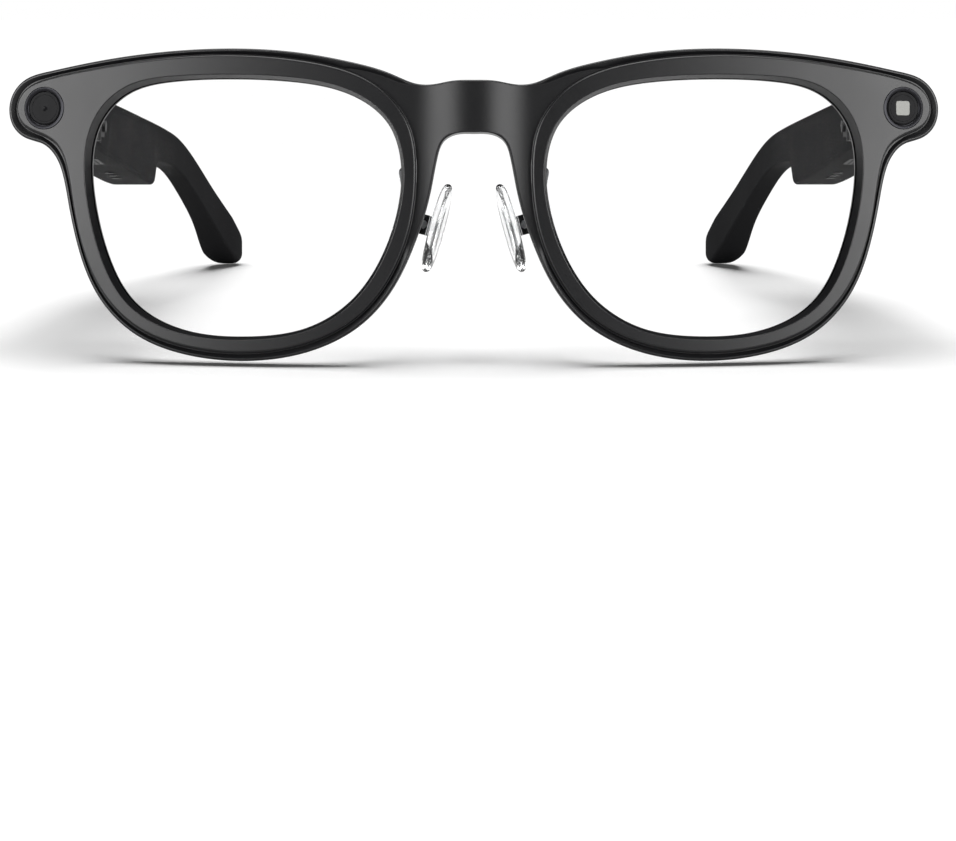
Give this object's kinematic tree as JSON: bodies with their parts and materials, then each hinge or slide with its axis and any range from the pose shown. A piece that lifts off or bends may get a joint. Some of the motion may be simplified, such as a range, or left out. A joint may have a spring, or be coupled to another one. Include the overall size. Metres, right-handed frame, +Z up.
{
  "type": "smart glasses",
  "caption": "Camera smart glasses with clear lenses, adjustable nose pads and hinged temples that hold battery, boards and speakers.",
  "frame": {"origin": "on the resting plane, below the middle of the glasses' outer box", "axes": "+X to the wearer's left, +Y backwards towards the temple tips, +Z up from the table the open glasses rest on"},
  "size_m": [0.1492, 0.1524, 0.0497],
  "materials": {
    "front_plastic": "black injection-moulded nylon, satin polish",
    "temple_plastic": "black injection-moulded nylon, fine matt",
    "clear_lens": "clear coated lens",
    "window_glass": "dark camera glass",
    "bezel_metal": "black anodised, turned",
    "light_window": "dark translucent acrylic",
    "pad_silicone": "clear silicone",
    "pad_insert": "clear nylon",
    "arm_metal": "bright nickel plate",
    "hinge_metal": "stainless steel",
    "screw_metal": "stainless steel",
    "circuit_board": "solder-masked laminate",
    "component_black": "moulded component",
    "battery_foil": "pouch foil",
    "contact_gold": "gold plate",
    "flex_film": "polyimide film"
  },
  "bodies": {
    "front": {"brow_cover": "front_plastic", "brow_flex": "flex_film", "camera_bezel": "bezel_metal", "camera_module": "component_black", "camera_window": "window_glass", "front_frame": "front_plastic", "hinge_frame_leaf_left": "hinge_metal", "hinge_frame_leaf_right": "hinge_metal", "hinge_frame_screws_left": "screw_metal", "hinge_frame_screws_right": "screw_metal", "hinge_pin_left": "screw_metal", "hinge_pin_right": "screw_metal", "led_bezel": "bezel_metal", "led_board": "circuit_board", "led_window": "light_window", "lens_left": "clear_lens", "lens_right": "clear_lens", "lug_lid_left": "front_plastic", "lug_lid_right": "front_plastic", "pad_arm_left": "arm_metal", "pad_arm_right": "arm_metal", "pad_screw_left": "screw_metal", "pad_screw_right": "screw_metal"},
    "temple_left": {"temple_shell_left": "temple_plastic", "temple_lid_left": "temple_plastic", "lid_screws_left": "screw_metal", "charge_contacts_left": "contact_gold", "temple_core_left": "hinge_metal", "battery_left": "battery_foil", "speaker_left": "component_black", "speaker_grille_left": "screw_metal", "microphone_left": "component_black", "control_board_left": "circuit_board", "hinge_temple_leaf_left": "hinge_metal", "hinge_temple_screws_left": "screw_metal"},
    "temple_right": {"temple_shell_right": "temple_plastic", "temple_lid_right": "temple_plastic", "lid_screws_right": "screw_metal", "charge_contacts_right": "contact_gold", "temple_core_right": "hinge_metal", "battery_right": "battery_foil", "speaker_right": "component_black", "speaker_grille_right": "screw_metal", "microphone_right": "component_black", "control_board_right": "circuit_board", "hinge_temple_leaf_right": "hinge_metal", "hinge_temple_screws_right": "screw_metal", "touch_sensor_right": "flex_film", "button_switch": "component_black"},
    "nose_pad_left": {"nose_pad_left": "pad_silicone", "pad_core_left": "pad_insert"},
    "nose_pad_right": {"nose_pad_right": "pad_silicone", "pad_core_right": "pad_insert"},
    "capture_button": {"capture_button": "temple_plastic"}
  },
  "joints": [
    {"name": "temple_left_fold", "type": "hinge", "parent": "front", "child": "temple_left", "pos_m": [0.0625, -0.05546, 0.0383], "axis": [0, 0.1157, 0.9933], "range_deg": [0, 87]},
    {"name": "temple_right_fold", "type": "hinge", "parent": "front", "child": "temple_right", "pos_m": [-0.0625, -0.05546, 0.0383], "axis": [0, -0.1157, -0.9933], "range_deg": [0, 71]},
    {"name": "nose_pad_left_tilt", "type": "hinge", "parent": "front", "child": "nose_pad_left", "pos_m": [0.00801, -0.06533, 0.0216], "axis": [0.1009, -0.9847, 0.1423], "range_deg": [-8, 8]},
    {"name": "nose_pad_right_tilt", "type": "hinge", "parent": "front", "child": "nose_pad_right", "pos_m": [-0.00801, -0.06533, 0.0216], "axis": [0.1009, 0.9847, -0.1423], "range_deg": [-8, 8]},
    {"name": "capture_button_press", "type": "slide", "parent": "temple_right", "child": "capture_button", "axis": [0, -0.1157, -0.9933], "range_m": [0, 0.0004], "stiffness_N_per_m": 2000}
  ]
}
